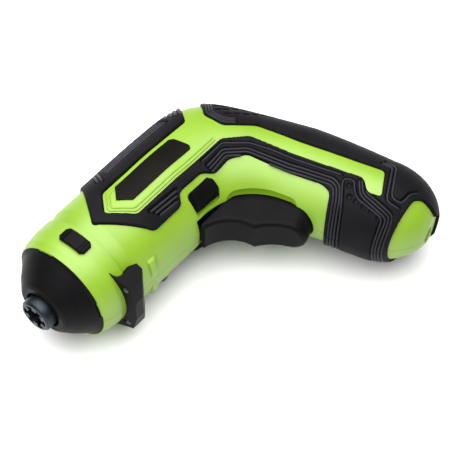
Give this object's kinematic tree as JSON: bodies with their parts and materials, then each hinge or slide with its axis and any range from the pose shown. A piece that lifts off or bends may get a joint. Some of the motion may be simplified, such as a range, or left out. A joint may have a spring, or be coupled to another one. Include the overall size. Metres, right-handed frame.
{
  "type": "electric screwdriver",
  "caption": "Pistol-grip cordless screwdriver with a hexagonal bit holder, planetary gears, motor, trigger, direction button, lock slide, work lamp and rubber grip.",
  "frame": {"origin": "centre of the bit holder's mouth, on the spindle axis", "axes": "+X back along the spindle, +Y to the tool's top with the handle towards -Y, +Z to the tool's left side, which faces up as the tool lies on its right side"},
  "size_m": [0.1359, 0.1098, 0.0466],
  "materials": {
    "green_shell": "fine satin moulding",
    "black_rubber": "soft matt overmould",
    "black_plastic": "fine spark-eroded grain",
    "gunmetal": "blackened turned steel",
    "bright_steel": "bright steel",
    "dark_magnet": "pressed ferrite",
    "bronze": "porous sintered bronze",
    "nylon": "glass-filled nylon",
    "cell_sleeve": "shrink-sleeved cell",
    "board": "coated glass-fibre board",
    "clear_lens": "clear moulded lens"
  },
  "bodies": {
    "housing": {"left_housing": "green_shell", "right_housing": "green_shell", "left_grip": "black_rubber", "right_grip": "black_rubber", "label_plate": "black_plastic", "housing_screws": "gunmetal", "nose_collar": "black_plastic", "spindle_bush": "bronze", "thrust_washer": "bright_steel", "gear_case": "nylon", "gear_cover": "bright_steel", "motor_can": "bright_steel", "motor_end_cap": "nylon", "motor_terminals": "bronze", "motor_screws": "bright_steel", "motor_magnets": "dark_magnet", "battery_cell": "cell_sleeve", "battery_tabs": "bright_steel", "control_board": "board", "charge_socket": "black_plastic", "trigger_pin": "bright_steel", "trigger_switch": "nylon", "lamp_holder": "black_plastic", "lamp_leds": "clear_lens"},
    "spindle": {"bit_holder": "gunmetal", "bit_magnet": "bright_steel", "output_carrier": "bright_steel", "retaining_clip": "bright_steel"},
    "middle_stage": {"first_carrier": "bright_steel"},
    "rotor": {"motor_shaft": "bright_steel", "motor_armature": "bright_steel", "drive_pinion": "bronze"},
    "trigger": {"trigger": "black_plastic"},
    "plunger": {"switch_plunger": "nylon"},
    "direction": {"direction_button": "black_plastic"},
    "lock": {"lock_slider": "black_plastic", "lock_ring": "nylon"},
    "output_gear_a": {"output_planet_a": "bright_steel"},
    "first_gear_a": {"first_planet_a": "bright_steel"},
    "output_gear_b": {"output_planet_b": "bright_steel"},
    "first_gear_b": {"first_planet_b": "bright_steel"},
    "output_gear_c": {"output_planet_c": "bright_steel"},
    "first_gear_c": {"first_planet_c": "bright_steel"}
  },
  "joints": [
    {"name": "spindle_spin", "type": "hinge", "parent": "housing", "child": "spindle", "pos_m": [0, 0, 0], "axis": [1, 0, 0], "continuous": true},
    {"name": "middle_spin", "type": "hinge", "parent": "housing", "child": "middle_stage", "pos_m": [0, 0, 0], "axis": [1, 0, 0], "continuous": true},
    {"name": "rotor_spin", "type": "hinge", "parent": "housing", "child": "rotor", "pos_m": [0, 0, 0], "axis": [1, 0, 0], "continuous": true},
    {"name": "output_gear_a_spin", "type": "hinge", "parent": "spindle", "child": "output_gear_a", "pos_m": [0, 0.00907, 0], "axis": [1, 0, 0], "continuous": true},
    {"name": "first_gear_a_spin", "type": "hinge", "parent": "middle_stage", "child": "first_gear_a", "pos_m": [0, 0.00907, 0], "axis": [1, 0, 0], "continuous": true},
    {"name": "output_gear_b_spin", "type": "hinge", "parent": "spindle", "child": "output_gear_b", "pos_m": [0, -0.00454, 0.00786], "axis": [1, 0, 0], "continuous": true},
    {"name": "first_gear_b_spin", "type": "hinge", "parent": "middle_stage", "child": "first_gear_b", "pos_m": [0, -0.00454, 0.00786], "axis": [1, 0, 0], "continuous": true},
    {"name": "output_gear_c_spin", "type": "hinge", "parent": "spindle", "child": "output_gear_c", "pos_m": [0, -0.00454, -0.00786], "axis": [1, 0, 0], "continuous": true},
    {"name": "first_gear_c_spin", "type": "hinge", "parent": "middle_stage", "child": "first_gear_c", "pos_m": [0, -0.00454, -0.00786], "axis": [1, 0, 0], "continuous": true},
    {"name": "trigger_pull", "type": "hinge", "parent": "housing", "child": "trigger", "pos_m": [0.0969, -0.04516, 0], "axis": [0, 0, -1], "range_deg": [0, 6], "stiffness_Nm_per_rad": 0.5, "springref_deg": -2.86},
    {"name": "plunger_press", "type": "slide", "parent": "housing", "child": "plunger", "axis": [0.5299, 0.848, 0], "range_m": [0, 0.0026]},
    {"name": "direction_push", "type": "slide", "parent": "housing", "child": "direction", "axis": [0, 0, 1], "range_m": [-0.0025, 0.0025]},
    {"name": "lock_turn", "type": "hinge", "parent": "housing", "child": "lock", "pos_m": [0, 0, 0], "axis": [1, 0, 0], "range_deg": [0, 10]}
  ],
  "couplings": [
    {"joint": "middle_spin", "follows": "rotor_spin", "ratio": 0.18182},
    {"joint": "spindle_spin", "follows": "rotor_spin", "ratio": 0.033058},
    {"joint": "output_gear_a_spin", "follows": "rotor_spin", "ratio": -0.085006},
    {"joint": "first_gear_a_spin", "follows": "rotor_spin", "ratio": -0.46753},
    {"joint": "output_gear_b_spin", "follows": "rotor_spin", "ratio": -0.085006},
    {"joint": "first_gear_b_spin", "follows": "rotor_spin", "ratio": -0.46753},
    {"joint": "output_gear_c_spin", "follows": "rotor_spin", "ratio": -0.085006},
    {"joint": "first_gear_c_spin", "follows": "rotor_spin", "ratio": -0.46753},
    {"joint": "plunger_press", "follows": "trigger_pull", "m_per_rad": 0.023873}
  ]
}
